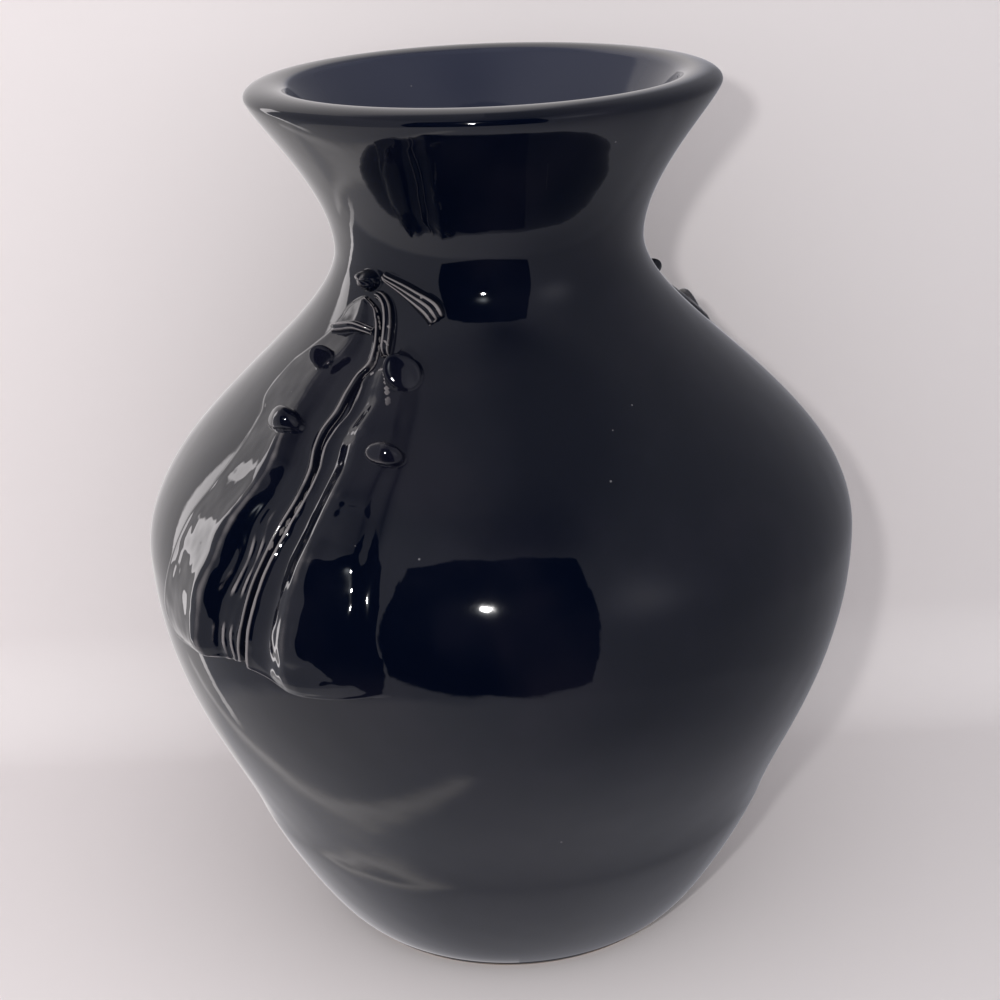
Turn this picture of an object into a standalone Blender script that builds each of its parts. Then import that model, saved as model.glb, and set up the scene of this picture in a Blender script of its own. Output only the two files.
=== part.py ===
"""Black glazed vase with two groups of draped relief, for Blender 4.5.

The vase stands on the XY plane with its axis on Z, and its front faces -Y.
The two relief groups are alike. The left one hangs from a knot at -X, and the
right one is nearly half a turn round. Lengths are in metres, angles in degrees.
"""

import bpy
import numpy as np

MM = 0.001

# Outer profile of the shell: radii, heights, slopes and the pull of each curve
HEIGHT = 240 * MM
FOOT_RADIUS = 52 * MM
FOOT_ANGLE = 32
FOOT_PULL = 9 * MM
LOWER_RADIUS = 75.8 * MM
LOWER_HEIGHT = 41 * MM
LOWER_ANGLE = 71
LOWER_PULL_DOWN = 8 * MM
LOWER_PULL_UP = 21 * MM
BELLY_RADIUS = 98.2 * MM
BELLY_HEIGHT = 116.3 * MM
BELLY_PULL_DOWN = 34.4 * MM
BELLY_PULL_UP = 31.6 * MM
NECK_RADIUS = 41.4 * MM
NECK_HEIGHT = 196.4 * MM
NECK_PULL_DOWN = 21.8 * MM
NECK_PULL_UP = 16 * MM

# Rolled lip, an ellipse in section
MOUTH_RADIUS = 62 * MM
LIP_HALF_WIDTH = 5.9 * MM
LIP_HALF_HEIGHT = 3 * MM
LIP_OUTER_JOIN = -10
LIP_INNER_JOIN = 161
LIP_PULL = 6 * MM
THROAT_PULL_DOWN = 21 * MM
THROAT_PULL_UP = 17.6 * MM

# Wall, floor and foot ring
WALL = 6 * MM
FLOOR = 8 * MM
FLOOR_RADIUS = 48 * MM
FLOOR_PULL = 14 * MM
FOOT_RING_WIDTH = 7 * MM
FOOT_RECESS = 2.5 * MM
FOOT_EDGE = 1.2 * MM

# Relief groups: degrees round from -X to the knot
GROUPS = {"left": 0, "right": 175}
KNOT_DROP = 3 * MM
HEM_DROP = 10 * MM
SEAT_GAP = 0.3 * MM
SEAM_GAP = 0.5 * MM
SEAM_OPENING = 2.2 * MM
SEAM_OPENING_SHARE = 0.33
SEAM_OPENING_SHARE_SPREAD = 0.06

# Lobes: rims, crest, hems, and how soon the crest is at its full height
LOBE_RIM = 0.9 * MM
FRONT_LOBE_NEAR_RIM = 0.4 * MM
LOBE_CREST = 4.2 * MM
CREST_GROWTH = 0.6
CREST_GROWTH_POWER = 0.6
HEM_ROUND = 6 * MM
FRONT_HEM_BULGE = 3 * MM
HEM_BULGE_POWER = 6

# Cross-sections of the lobes: (share of the width from the far edge, share of the crest)
BACK_SECTION = [
    (0.0, 0.0), (0.055, 0.38), (0.11, 0.31), (0.22, 0.44), (0.40, 0.70), (0.56, 0.96), (0.63, 1.0), (0.70, 0.76),
    (0.78, 0.26), (0.85, 0.10), (1.0, 0.0),
]
FRONT_SECTION = [
    (0.0, 0.0), (0.05, 0.44), (0.10, 0.34), (0.20, 0.42), (0.36, 0.93), (0.42, 1.0), (0.54, 0.84), (0.70, 0.54),
    (0.86, 0.16), (1.0, 0.0),
]

# Crease across the lobes below the lower bosses, and the soft ripples down them
CREASE_DEPTH = 0.8 * MM
CREASE_SHARE_DOWN = 0.37
CREASE_SHARE_DOWN_SPREAD = 0.014
CREASE_SHARE_ACROSS = 0.15
CREASE_SHARE_ACROSS_SPREAD = 0.35
RIPPLE = 0.3 * MM
RIPPLE_COUNT = 5
RIPPLE_SLANT = 3

# Outlines on the shell: (share of the drop from knot to hem, degrees from the knot)
BACK_LOBE_FAR_EDGE = [
    (0.045, -1.0), (0.08, -6.6), (0.115, -8.2), (0.156, -9.6), (0.207, -13.3), (0.257, -16.6), (0.30, -16.9),
    (0.344, -16.0), (0.372, -13.2), (0.43, -11.0), (0.55, -11.0), (0.63, -12.2), (0.74, -12.8), (0.84, -13.2),
    (0.95, -13.6), (1.0, -10.5),
]
BACK_LOBE_TOP_EDGE = [(0.045, 2.5), (0.065, 8.0), (0.10, 11.8), (0.14, 14.0), (0.18, 15.2), (0.205, 15.2)]
SEAM = [
    (0.235, 13.4), (0.27, 12.6), (0.32, 12.3), (0.37, 11.2), (0.40, 11.5), (0.45, 12.9), (0.50, 13.0), (0.60, 11.7),
    (0.73, 10.2), (0.86, 9.0), (0.96, 8.0),
]
FRONT_LOBE_TOP_EDGE = [(0.19, 18.6), (0.213, 16.4)]
FRONT_LOBE_NEAR_EDGE = [
    (0.13, 24.5), (0.17, 30.0), (0.23, 33.0), (0.36, 33.5), (0.50, 32.0), (0.70, 31.5), (0.85, 31.8), (0.97, 33.0),
]

# Paths of the rolls: (share of the drop, degrees from the knot, half width, height)
SHOULDER_CORD = [
    (-0.023, 9.0, 1.0 * MM, 1.2 * MM), (0.005, 17.5, 1.8 * MM, 1.8 * MM), (0.030, 23.5, 2.3 * MM, 2.4 * MM),
    (0.058, 29.0, 2.8 * MM, 2.4 * MM), (0.085, 31.5, 2.4 * MM, 1.4 * MM),
]
STEM = [
    (0.036, 6.5, 1.0 * MM, 1.2 * MM), (0.040, 10.0, 1.2 * MM, 1.8 * MM), (0.062, 13.0, 1.3 * MM, 2.2 * MM),
    (0.100, 15.2, 1.3 * MM, 2.4 * MM), (0.140, 16.6, 1.3 * MM, 2.4 * MM), (0.182, 17.6, 1.3 * MM, 2.2 * MM),
]
CROSS_FOLD = [
    (0.150, -4.5, 1.2 * MM, 1.0 * MM), (0.142, 0.5, 1.5 * MM, 1.8 * MM),
    (0.132, 6.0, 1.4 * MM, 1.6 * MM), (0.132, 11.0, 1.0 * MM, 0.9 * MM),
]
ROLL_END_POWER = 6
ROLL_END_SHARE = 0.32

# Rounds: (share of the drop, degrees from the knot, half length, half width, height)
KNOT = (0.0, 2.0, 2.8 * MM, 3.6 * MM, 3.2 * MM)
BACK_UPPER_BOSS = (0.226, 0.4, 3.2 * MM, 3.4 * MM, 2.0 * MM)
BACK_LOWER_BOSS = (0.376, 1.1, 3.3 * MM, 6.0 * MM, 2.8 * MM)
FRONT_UPPER_BOSS = (0.222, 25.5, 5.2 * MM, 4.9 * MM, 2.4 * MM)
FRONT_LOWER_BOSS = (0.400, 27.2, 2.9 * MM, 4.6 * MM, 2.4 * MM)
PIECE_RIM = 0.5 * MM

# Facets
SHELL_SEGMENTS = 48
FOOT_STEPS = 4
LOWER_STEPS = 7
SHOULDER_STEPS = 14
NECK_STEPS = 6
LIP_STEPS = 9
THROAT_STEPS = 5
INNER_STRIDE = 2
FINE_STEPS = 120
LOBE_ROWS = 22
LOBE_COLUMNS = 13
ROLL_ROWS = 10
ROLL_COLUMNS = 5
ROUND_CELLS = 6
FIND_STEPS = 12
SHARP_ANGLE = 50
MERGE_DISTANCE = 0.01 * MM

# Glaze
GLAZE_COLOUR = (0.010, 0.011, 0.014, 1.0)
GLAZE_ROUGHNESS = 0.06


def bezier(start, start_pull, end_pull, end, steps):
    """Points along a cubic curve, its last one left out."""
    t = np.linspace(0, 1, steps, endpoint=False)[:, None]
    points = [np.asarray(p, float) for p in (start, start_pull, end_pull, end)]
    weights = ((1 - t) ** 3, 3 * (1 - t) ** 2 * t, 3 * (1 - t) * t ** 2, t ** 3)
    return sum(weight * point for weight, point in zip(weights, points))


def heading(angle):
    """Unit vector (out, up) at this angle above the horizontal."""
    return np.array([np.cos(np.radians(angle)), np.sin(np.radians(angle))])


def lip_point(angle):
    """(radius, height) on the lip's ellipse."""
    out, up = heading(angle)
    return np.array([
        MOUTH_RADIUS - LIP_HALF_WIDTH + LIP_HALF_WIDTH * out,
        HEIGHT - LIP_HALF_HEIGHT + LIP_HALF_HEIGHT * up,
    ])


def lip_heading(angle):
    """Unit tangent of the lip's ellipse, turning from outside over the top."""
    out, up = heading(angle)
    tangent = np.array([-LIP_HALF_WIDTH * up, LIP_HALF_HEIGHT * out])
    return tangent / np.linalg.norm(tangent)


def outer_side(foot_steps, lower_steps, shoulder_steps, neck_steps):
    """(radius, height) up the outer side of the shell, from foot to lip."""
    foot = np.array([FOOT_RADIUS, FOOT_EDGE])
    lower = np.array([LOWER_RADIUS, LOWER_HEIGHT])
    belly = np.array([BELLY_RADIUS, BELLY_HEIGHT])
    neck = np.array([NECK_RADIUS, NECK_HEIGHT])
    lip = lip_point(LIP_OUTER_JOIN)
    up = heading(90)
    lean = heading(LOWER_ANGLE)
    flare = lip_heading(LIP_OUTER_JOIN)
    return np.concatenate([
        bezier(foot, foot + FOOT_PULL * heading(FOOT_ANGLE), lower - LOWER_PULL_DOWN * lean, lower, foot_steps),
        bezier(lower, lower + LOWER_PULL_UP * lean, belly - BELLY_PULL_DOWN * up, belly, lower_steps),
        bezier(belly, belly + BELLY_PULL_UP * up, neck - NECK_PULL_DOWN * up, neck, shoulder_steps),
        bezier(neck, neck + NECK_PULL_UP * up, lip - LIP_PULL * flare, lip, neck_steps),
        [lip],
    ])


def outward(curve):
    """Unit normals of a curve that runs up the outer side."""
    along = np.gradient(curve, axis=0)
    normal = np.stack([along[:, 1], -along[:, 0]], axis=1)
    return normal / np.linalg.norm(normal, axis=1)[:, None]


SEAT = outer_side(FINE_STEPS, FINE_STEPS, FINE_STEPS, FINE_STEPS)
SEAT_NORMAL = outward(SEAT)
RELIEF_TOP = NECK_HEIGHT - KNOT_DROP
RELIEF_DROP = RELIEF_TOP - (BELLY_HEIGHT - HEM_DROP)


def glide(stations, at):
    """Smooth curve through (position, value) stations, read at these positions."""
    x, y = np.array(stations, float).T
    slopes = np.gradient(y, x)
    at = np.clip(at, x[0], x[-1])
    i = np.clip(np.searchsorted(x, at) - 1, 0, len(x) - 2)
    width = x[i + 1] - x[i]
    t = (at - x[i]) / width
    return (
        (1 + 2 * t) * (1 - t) ** 2 * y[i]
        + t * (1 - t) ** 2 * width * slopes[i]
        + t ** 2 * (3 - 2 * t) * y[i + 1]
        + t ** 2 * (t - 1) * width * slopes[i + 1]
    )


def bump(x, centre, width):
    """Bell curve of height 1."""
    return np.exp(-(((x - centre) / width) ** 2))


def across_seam(share, angle):
    """The front lobe's side of the seam, opposite a place on the back lobe's side."""
    gap = SEAM_GAP + SEAM_OPENING * bump(share, SEAM_OPENING_SHARE, SEAM_OPENING_SHARE_SPREAD)
    return share, angle + np.degrees(gap / BELLY_RADIUS)


class Group:
    """Where one group of relief lies on the shell. Places are (share of the drop, degrees from the knot)."""

    def __init__(self, prefix):
        self.prefix = prefix
        self.turn = GROUPS[prefix]

    def shell(self, share):
        """Height, radius and normal (out, up) of the shell's outer side."""
        height = RELIEF_TOP - RELIEF_DROP * share
        radius = np.interp(height, SEAT[:, 1], SEAT[:, 0])
        out = np.interp(height, SEAT[:, 1], SEAT_NORMAL[:, 0])
        up = np.interp(height, SEAT[:, 1], SEAT_NORMAL[:, 1])
        return height, radius, out, up

    def seat(self, share, angle, lift):
        """Points lifted along the shell's normal."""
        height, radius, out, up = self.shell(share)
        reach = radius + lift * out
        turn = np.radians(angle + self.turn)
        return np.stack([-reach * np.cos(turn), -reach * np.sin(turn), height + lift * up], axis=-1)

    def walk(self, share, angle, down, across):
        """The place reached by metres down the shell's slope and across it."""
        _, radius, steepness, _ = self.shell(share)
        return share + down * steepness / RELIEF_DROP, angle + np.degrees(across / radius)

    def heading(self, share, angle):
        """Unit directions (down, across) of the path through these places."""
        _, radius, steepness, _ = self.shell(share)
        run = np.stack([
            np.gradient(share) * RELIEF_DROP / steepness,
            np.radians(np.gradient(angle)) * radius,
        ], axis=1)
        return run / np.linalg.norm(run, axis=1)[:, None]


class Lobe:
    """A long convex fold that hangs on the shell between two edges."""

    def __init__(self, far_edge, near_edge, section, near_rim, hem_bulge):
        self.far_edge = far_edge
        self.near_edge = near_edge
        self.section = section
        self.near_rim = near_rim
        self.hem_bulge = hem_bulge / RELIEF_DROP

    def place(self, u, v):
        """The place at u down the lobe and v across it."""
        far_share = self.far_edge[0][0] + u * (self.far_edge[-1][0] - self.far_edge[0][0])
        near_share = self.near_edge[0][0] + u * (self.near_edge[-1][0] - self.near_edge[0][0])
        far = glide(self.far_edge, far_share)
        near = glide(self.near_edge, near_share)
        bulge = self.hem_bulge * u ** HEM_BULGE_POWER * np.sin(np.pi * v)
        return far_share + v * (near_share - far_share) + bulge, far + v * (near - far)

    def find(self, share, angle):
        """(u, v) of a place, closed in on by steps."""
        u = np.clip((share - self.far_edge[0][0]) / (self.far_edge[-1][0] - self.far_edge[0][0]), 0, 1)
        v = np.full_like(u, 0.5)
        for _ in range(FIND_STEPS):
            share_there, _ = self.place(u, v)
            u = np.clip(u + share - share_there, 0, 1)
            _, far = self.place(u, 0 * v)
            _, near = self.place(u, 0 * v + 1)
            v = np.clip((angle - far) / (near - far), 0, 1)
        return u, v

    def rise(self, u, v):
        """Thickness at u down the lobe and v across it."""
        share, _ = self.place(u, v)
        section = glide(self.section, v)
        growth = np.clip(u / CREST_GROWTH, 0, 1) ** CREST_GROWTH_POWER
        hem = np.sqrt(1 - (1 - np.clip((1 - u) * RELIEF_DROP / HEM_ROUND, 0, 1)) ** 2)
        crease = (
            CREASE_DEPTH
            * bump(share, CREASE_SHARE_DOWN, CREASE_SHARE_DOWN_SPREAD)
            * bump(v, CREASE_SHARE_ACROSS, CREASE_SHARE_ACROSS_SPREAD)
        )
        ripple = RIPPLE * np.sin(2 * np.pi * RIPPLE_COUNT * u + RIPPLE_SLANT * v)
        rim = LOBE_RIM + v * (self.near_rim - LOBE_RIM)
        return rim + (LOBE_CREST + ripple - crease) * section * growth * hem

    def top(self, share, angle):
        """Lift of the lobe's outer face above the shell."""
        u, v = self.find(share, angle)
        return SEAT_GAP + self.rise(u, v)


def bare_shell(share, angle):
    """Lift of the shell itself: none."""
    return np.zeros_like(share + angle)


def finished(name, mesh):
    """The object of a mesh, shaded smooth, in its collection, with its own glaze."""
    mesh.shade_smooth()
    mesh.set_sharp_from_angle(angle=np.radians(SHARP_ANGLE))
    part = bpy.data.objects.new(name, mesh)
    VASE.objects.link(part)
    glaze = bpy.data.materials.new(name + "_glaze")
    glaze.use_nodes = True
    shader = glaze.node_tree.nodes["Principled BSDF"]
    shader.inputs["Base Color"].default_value = GLAZE_COLOUR
    shader.inputs["Roughness"].default_value = GLAZE_ROUGHNESS
    shader.inputs["Metallic"].default_value = 0.0
    mesh.materials.append(glaze)
    return part


def closed_sheet(name, outer, inner):
    """A closed object between two grids of points, joined all round their rims."""
    rows, columns = outer.shape[:2]
    points = np.concatenate([outer.reshape(-1, 3), inner.reshape(-1, 3)])
    below = rows * columns
    faces = []
    for i in range(rows - 1):
        for j in range(columns - 1):
            a = i * columns + j
            quad = (a, a + columns, a + columns + 1, a + 1)
            faces.append(quad)
            faces.append(tuple(corner + below for corner in reversed(quad)))
    rim = (
        [j for j in range(columns)]
        + [i * columns + columns - 1 for i in range(1, rows)]
        + [(rows - 1) * columns + j for j in range(columns - 2, -1, -1)]
        + [i * columns for i in range(rows - 2, 0, -1)]
    )
    for here, there in zip(rim, rim[1:] + rim[:1]):
        faces.append((here, there, there + below, here + below))
    mesh = bpy.data.meshes.new(name)
    mesh.from_pydata(points.tolist(), [], faces)
    return finished(name, mesh)


def make_shell():
    """The hollow shell, its whole section turned round Z."""
    outer = outer_side(FOOT_STEPS, LOWER_STEPS, SHOULDER_STEPS, NECK_STEPS)
    lip_angles = np.linspace(LIP_INNER_JOIN, LIP_OUTER_JOIN, LIP_STEPS, endpoint=False)
    lip = [lip_point(angle) for angle in lip_angles]
    neck_index = FOOT_STEPS + LOWER_STEPS + SHOULDER_STEPS
    hollow = (outer - WALL * outward(outer))[neck_index:FOOT_STEPS - 1:-INNER_STRIDE][::-1]
    hollow[-1] = (NECK_RADIUS - WALL, NECK_HEIGHT)
    floor_edge = np.array([FLOOR_RADIUS, FLOOR])
    floor_round = bezier(
        floor_edge, floor_edge + FLOOR_PULL * heading(0),
        hollow[0] - FLOOR_PULL * heading(LOWER_ANGLE), hollow[0], FOOT_STEPS,
    )
    throat = bezier(
        hollow[-1], hollow[-1] + THROAT_PULL_UP * heading(90),
        lip[0] + THROAT_PULL_DOWN * lip_heading(LIP_INNER_JOIN), lip[0], THROAT_STEPS,
    )
    ring_outer = (FOOT_RADIUS - FOOT_EDGE, 0)
    ring_inner = (FOOT_RADIUS - FOOT_RING_WIDTH, 0)
    recess_edge = (FOOT_RADIUS - FOOT_RING_WIDTH - FOOT_RECESS, FOOT_RECESS)
    section = np.concatenate([
        [(0, FLOOR)], floor_round, hollow[:-1], throat, lip, outer[::-1],
        [ring_outer, ring_inner, recess_edge, (0, FOOT_RECESS)],
    ])
    mesh = bpy.data.meshes.new("vase_body")
    edges = [(i, i + 1) for i in range(len(section) - 1)]
    mesh.from_pydata([(radius, 0, height) for radius, height in section.tolist()], edges, [])
    shell = finished("vase_body", mesh)
    turn = shell.modifiers.new("turn", "SCREW")
    turn.axis = "Z"
    turn.steps = SHELL_SEGMENTS
    turn.render_steps = SHELL_SEGMENTS
    turn.use_merge_vertices = True
    turn.merge_threshold = MERGE_DISTANCE
    turn.use_smooth_shade = True
    return shell


def make_lobe(group, name, lobe):
    """A lobe as a closed sheet that follows the shell."""
    down = np.linspace(0, 1, LOBE_ROWS + 1)[:, None]
    across = (1 - np.cos(np.pi * np.linspace(0, 1, LOBE_COLUMNS + 1)))[None, :] / 2
    u, v = np.broadcast_arrays(down, across)
    share, angle = lobe.place(u, v)
    outer = group.seat(share, angle, SEAT_GAP + lobe.rise(u, v))
    inner = group.seat(share, angle, SEAT_GAP)
    return closed_sheet(group.prefix + name, outer, inner)


def make_roll(group, name, path, under):
    """A half-round roll along a path, seated on what lies under it."""
    stations = np.array(path)
    numbers = np.arange(len(path))
    at = np.linspace(0, len(path) - 1, ROLL_ROWS + 1)
    share, angle, half_width, height = (glide(np.stack([numbers, c], axis=1), at) for c in stations.T)
    run = group.heading(share, angle)
    end = 1 - (1 - ROLL_END_SHARE) * np.abs(np.linspace(-1, 1, ROLL_ROWS + 1)) ** ROLL_END_POWER
    spread = -np.cos(np.pi * np.linspace(0, 1, ROLL_COLUMNS + 1))
    offset = spread[None, :] * (half_width * end)[:, None]
    place = group.walk(share[:, None], angle[:, None], -run[:, 1, None] * offset, run[:, 0, None] * offset)
    arch = np.sqrt(np.clip(1 - spread ** 2, 0, 1))[None, :] * (height * end)[:, None]
    base = under(*place) + SEAT_GAP
    return closed_sheet(group.prefix + name, group.seat(*place, base + PIECE_RIM + arch), group.seat(*place, base))


def make_round(group, name, size, under):
    """A domed lump, oval in outline, seated on what lies under it."""
    share, angle, half_length, half_width, height = size
    grid = np.linspace(-1, 1, ROUND_CELLS + 1)
    p, q = np.meshgrid(grid, grid, indexing="ij")
    down = p * np.sqrt(1 - q ** 2 / 2)
    across = q * np.sqrt(1 - p ** 2 / 2)
    place = group.walk(share, angle, down * half_length, across * half_width)
    dome = height * np.sqrt(np.clip(1 - down ** 2 - across ** 2, 0, 1))
    base = under(*place) + SEAT_GAP
    return closed_sheet(group.prefix + name, group.seat(*place, base + PIECE_RIM + dome), group.seat(*place, base))


def make_relief(prefix):
    """One group of relief: its knot, rolls, lobes and bosses."""
    group = Group(prefix)
    back = Lobe(BACK_LOBE_FAR_EDGE, BACK_LOBE_TOP_EDGE + SEAM, BACK_SECTION, LOBE_RIM, 0)
    front_far_edge = FRONT_LOBE_TOP_EDGE + [across_seam(*station) for station in SEAM]
    front = Lobe(front_far_edge, FRONT_LOBE_NEAR_EDGE, FRONT_SECTION, FRONT_LOBE_NEAR_RIM, FRONT_HEM_BULGE)
    return [
        make_round(group, "_knot", KNOT, bare_shell),
        make_roll(group, "_shoulder_cord", SHOULDER_CORD, bare_shell),
        make_roll(group, "_stem", STEM, bare_shell),
        make_lobe(group, "_back_lobe", back),
        make_lobe(group, "_front_lobe", front),
        make_roll(group, "_cross_fold", CROSS_FOLD, back.top),
        make_round(group, "_back_upper_boss", BACK_UPPER_BOSS, back.top),
        make_round(group, "_back_lower_boss", BACK_LOWER_BOSS, back.top),
        make_round(group, "_front_upper_boss", FRONT_UPPER_BOSS, front.top),
        make_round(group, "_front_lower_boss", FRONT_LOWER_BOSS, front.top),
    ]


for old in list(bpy.data.objects):
    bpy.data.objects.remove(old, do_unlink=True)
VASE = bpy.data.collections.new("vase")
bpy.context.scene.collection.children.link(VASE)

body = make_shell()
for piece in make_relief("left") + make_relief("right"):
    piece.parent = body
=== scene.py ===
"""Looks of the black glazed vase with its two groups of draped relief.

The vase stands on the XY plane with its axis on Z. Each solid of the frame is
replaced by a finer skin of glaze on the same curves. Lengths are in metres,
angles in degrees. "Picture frame" means the room as the camera faces it: x to
the right, y away from the camera, z up.
"""

import bpy
import numpy as np
from mathutils import Matrix, Vector


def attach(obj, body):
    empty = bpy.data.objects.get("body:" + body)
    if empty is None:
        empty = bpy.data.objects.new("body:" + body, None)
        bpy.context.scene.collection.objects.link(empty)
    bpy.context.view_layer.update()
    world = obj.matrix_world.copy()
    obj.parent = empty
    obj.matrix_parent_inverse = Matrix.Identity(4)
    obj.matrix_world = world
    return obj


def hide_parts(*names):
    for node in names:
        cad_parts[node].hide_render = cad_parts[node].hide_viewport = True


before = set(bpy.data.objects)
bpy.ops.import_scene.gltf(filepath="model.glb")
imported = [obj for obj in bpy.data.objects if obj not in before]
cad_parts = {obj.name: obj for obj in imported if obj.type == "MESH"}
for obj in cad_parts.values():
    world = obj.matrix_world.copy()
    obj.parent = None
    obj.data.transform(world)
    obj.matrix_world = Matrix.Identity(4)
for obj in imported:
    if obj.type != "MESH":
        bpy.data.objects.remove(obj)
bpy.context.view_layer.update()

MM = 0.001

# Camera: focal length in picture widths, a plain sensor width in millimetres, distance, height,
# and its three turns in radians
FOCAL = 1.7921
SENSOR_WIDTH = 36
CAMERA_DISTANCE = 472.4 * MM
CAMERA_HEIGHT = 307.7 * MM
PITCH = 0.3771
ROLL = 0.0419
VIEW_TURN = np.radians(-41)

# Outer profile of the shell
HEIGHT = 240 * MM
FOOT_RADIUS = 52 * MM
FOOT_ANGLE = 32
FOOT_PULL = 9 * MM
LOWER_RADIUS = 75.8 * MM
LOWER_HEIGHT = 41 * MM
LOWER_ANGLE = 71
LOWER_PULL_DOWN = 8 * MM
LOWER_PULL_UP = 21 * MM
BELLY_RADIUS = 98.2 * MM
BELLY_HEIGHT = 116.3 * MM
BELLY_PULL_DOWN = 34.4 * MM
BELLY_PULL_UP = 31.6 * MM
NECK_RADIUS = 41.4 * MM
NECK_HEIGHT = 196.4 * MM
NECK_PULL_DOWN = 21.8 * MM
NECK_PULL_UP = 16 * MM

# Rolled lip, an ellipse in section
MOUTH_RADIUS = 62 * MM
LIP_HALF_WIDTH = 5.9 * MM
LIP_HALF_HEIGHT = 3 * MM
LIP_OUTER_JOIN = -10
LIP_INNER_JOIN = 161
LIP_PULL = 6 * MM
THROAT_PULL_DOWN = 21 * MM
THROAT_PULL_UP = 17.6 * MM

# Wall, floor and foot ring, whose edge is rounded by (out, up) shares of its size
WALL = 6 * MM
FLOOR = 8 * MM
FLOOR_RADIUS = 48 * MM
FLOOR_PULL = 14 * MM
FOOT_RING_WIDTH = 7 * MM
FOOT_RECESS = 2.5 * MM
FOOT_EDGE = 1.2 * MM
FOOT_EDGE_ROUND = [(0.9, 0.5), (0.5, 0.12), (0, 0)]

# Relief groups: degrees round from -X to the knot
GROUPS = {"left": 0, "right": 175}
KNOT_DROP = 3 * MM
HEM_DROP = 10 * MM
SEAT_GAP = 0.3 * MM
SEAM_GAP = 0.5 * MM
SEAM_OPENING = 2.2 * MM
SEAM_OPENING_SHARE = 0.33
SEAM_OPENING_SHARE_SPREAD = 0.06

# Lobes: their sections are (share of the width from the far edge, share of the crest)
LOBE_RIM = 0.9 * MM
FRONT_LOBE_NEAR_RIM = 0.4 * MM
LOBE_CREST = 4.2 * MM
CREST_GROWTH = 0.6
CREST_GROWTH_POWER = 0.6
HEM_ROUND = 6 * MM
FRONT_HEM_BULGE = 3 * MM
HEM_BULGE_POWER = 6
BACK_SECTION = [
    (0.0, 0.0), (0.055, 0.33), (0.11, 0.31), (0.22, 0.41), (0.38, 0.63), (0.50, 0.83),
    (0.61, 1.03), (0.66, 1.03), (0.71, 0.78), (0.79, 0.26), (0.86, 0.10), (1.0, 0.0),
]
FRONT_SECTION = [
    (0.0, 0.0), (0.05, 0.44), (0.10, 0.30), (0.21, 0.27), (0.30, 0.67), (0.38, 1.03),
    (0.43, 1.06), (0.54, 0.86), (0.70, 0.54), (0.86, 0.16), (1.0, 0.0),
]
CREASE_DEPTH = 0.8 * MM
CREASE_SHARE_DOWN = 0.37
CREASE_SHARE_DOWN_SPREAD = 0.014
CREASE_SHARE_ACROSS = 0.15
CREASE_SHARE_ACROSS_SPREAD = 0.35
RIPPLE = 0.3 * MM
RIPPLE_COUNT = 5
RIPPLE_SLANT = 3

# Outlines on the shell: (share of the drop from knot to hem, degrees from the knot)
BACK_LOBE_FAR_EDGE = [
    (0.045, -1.0), (0.08, -6.6), (0.115, -8.2), (0.156, -9.6), (0.207, -13.3), (0.257, -16.6),
    (0.30, -16.9), (0.344, -16.0), (0.372, -13.2), (0.43, -11.0), (0.55, -11.0), (0.63, -12.2),
    (0.74, -12.8), (0.84, -13.2), (0.95, -13.6), (1.0, -10.5),
]
BACK_LOBE_TOP_EDGE = [(0.045, 2.5), (0.065, 8.0), (0.10, 11.8), (0.14, 14.0), (0.18, 15.2), (0.205, 15.2)]
SEAM = [
    (0.235, 13.4), (0.27, 12.6), (0.32, 12.3), (0.37, 11.2), (0.40, 11.5), (0.45, 12.9),
    (0.50, 13.0), (0.60, 11.7), (0.73, 10.2), (0.86, 9.0), (0.96, 8.0),
]
FRONT_LOBE_TOP_EDGE = [(0.19, 18.6), (0.213, 16.4)]
FRONT_LOBE_NEAR_EDGE = [
    (0.13, 24.5), (0.17, 30.0), (0.23, 33.0), (0.36, 33.5),
    (0.50, 32.0), (0.70, 31.5), (0.85, 31.8), (0.97, 33.0),
]

# Paths of the rolls: (share of the drop, degrees from the knot, half width, height)
SHOULDER_CORD = [
    (-0.023, 9.0, 1.0 * MM, 1.2 * MM), (0.005, 17.5, 1.8 * MM, 1.8 * MM), (0.030, 23.5, 2.3 * MM, 2.4 * MM),
    (0.058, 29.0, 2.8 * MM, 2.4 * MM), (0.085, 31.5, 2.4 * MM, 1.4 * MM),
]
STEM = [
    (0.036, 6.5, 1.0 * MM, 1.2 * MM), (0.040, 10.0, 1.2 * MM, 1.8 * MM), (0.062, 13.0, 1.3 * MM, 2.2 * MM),
    (0.100, 15.2, 1.3 * MM, 2.4 * MM), (0.140, 16.6, 1.3 * MM, 2.4 * MM), (0.182, 17.6, 1.3 * MM, 2.2 * MM),
]
CROSS_FOLD = [
    (0.150, -4.5, 1.2 * MM, 1.0 * MM), (0.142, 0.5, 1.5 * MM, 1.8 * MM),
    (0.132, 6.0, 1.4 * MM, 1.6 * MM), (0.132, 11.0, 1.0 * MM, 0.9 * MM),
]
PIECE_RIM = 0.5 * MM

# Ridges along the rolls: (count, height)
CORD_RIDGES = (3, 0.55 * MM)
STEM_RIDGES = (2, 0.4 * MM)
CROSS_FOLD_RIDGES = (2, 0.35 * MM)

# Rounds: (share of the drop, degrees from the knot, half length, half width, height)
KNOT = (0.0, 2.0, 2.8 * MM, 3.6 * MM, 3.2 * MM)
BACK_UPPER_BOSS = (0.226, 1.6, 3.0 * MM, 2.7 * MM, 1.9 * MM)
BACK_LOWER_BOSS = (0.376, 1.1, 3.3 * MM, 6.0 * MM, 2.8 * MM)
FRONT_UPPER_BOSS = (0.222, 25.8, 4.5 * MM, 4.2 * MM, 2.6 * MM)
FRONT_LOWER_BOSS = (0.400, 27.2, 2.9 * MM, 4.6 * MM, 2.4 * MM)

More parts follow.
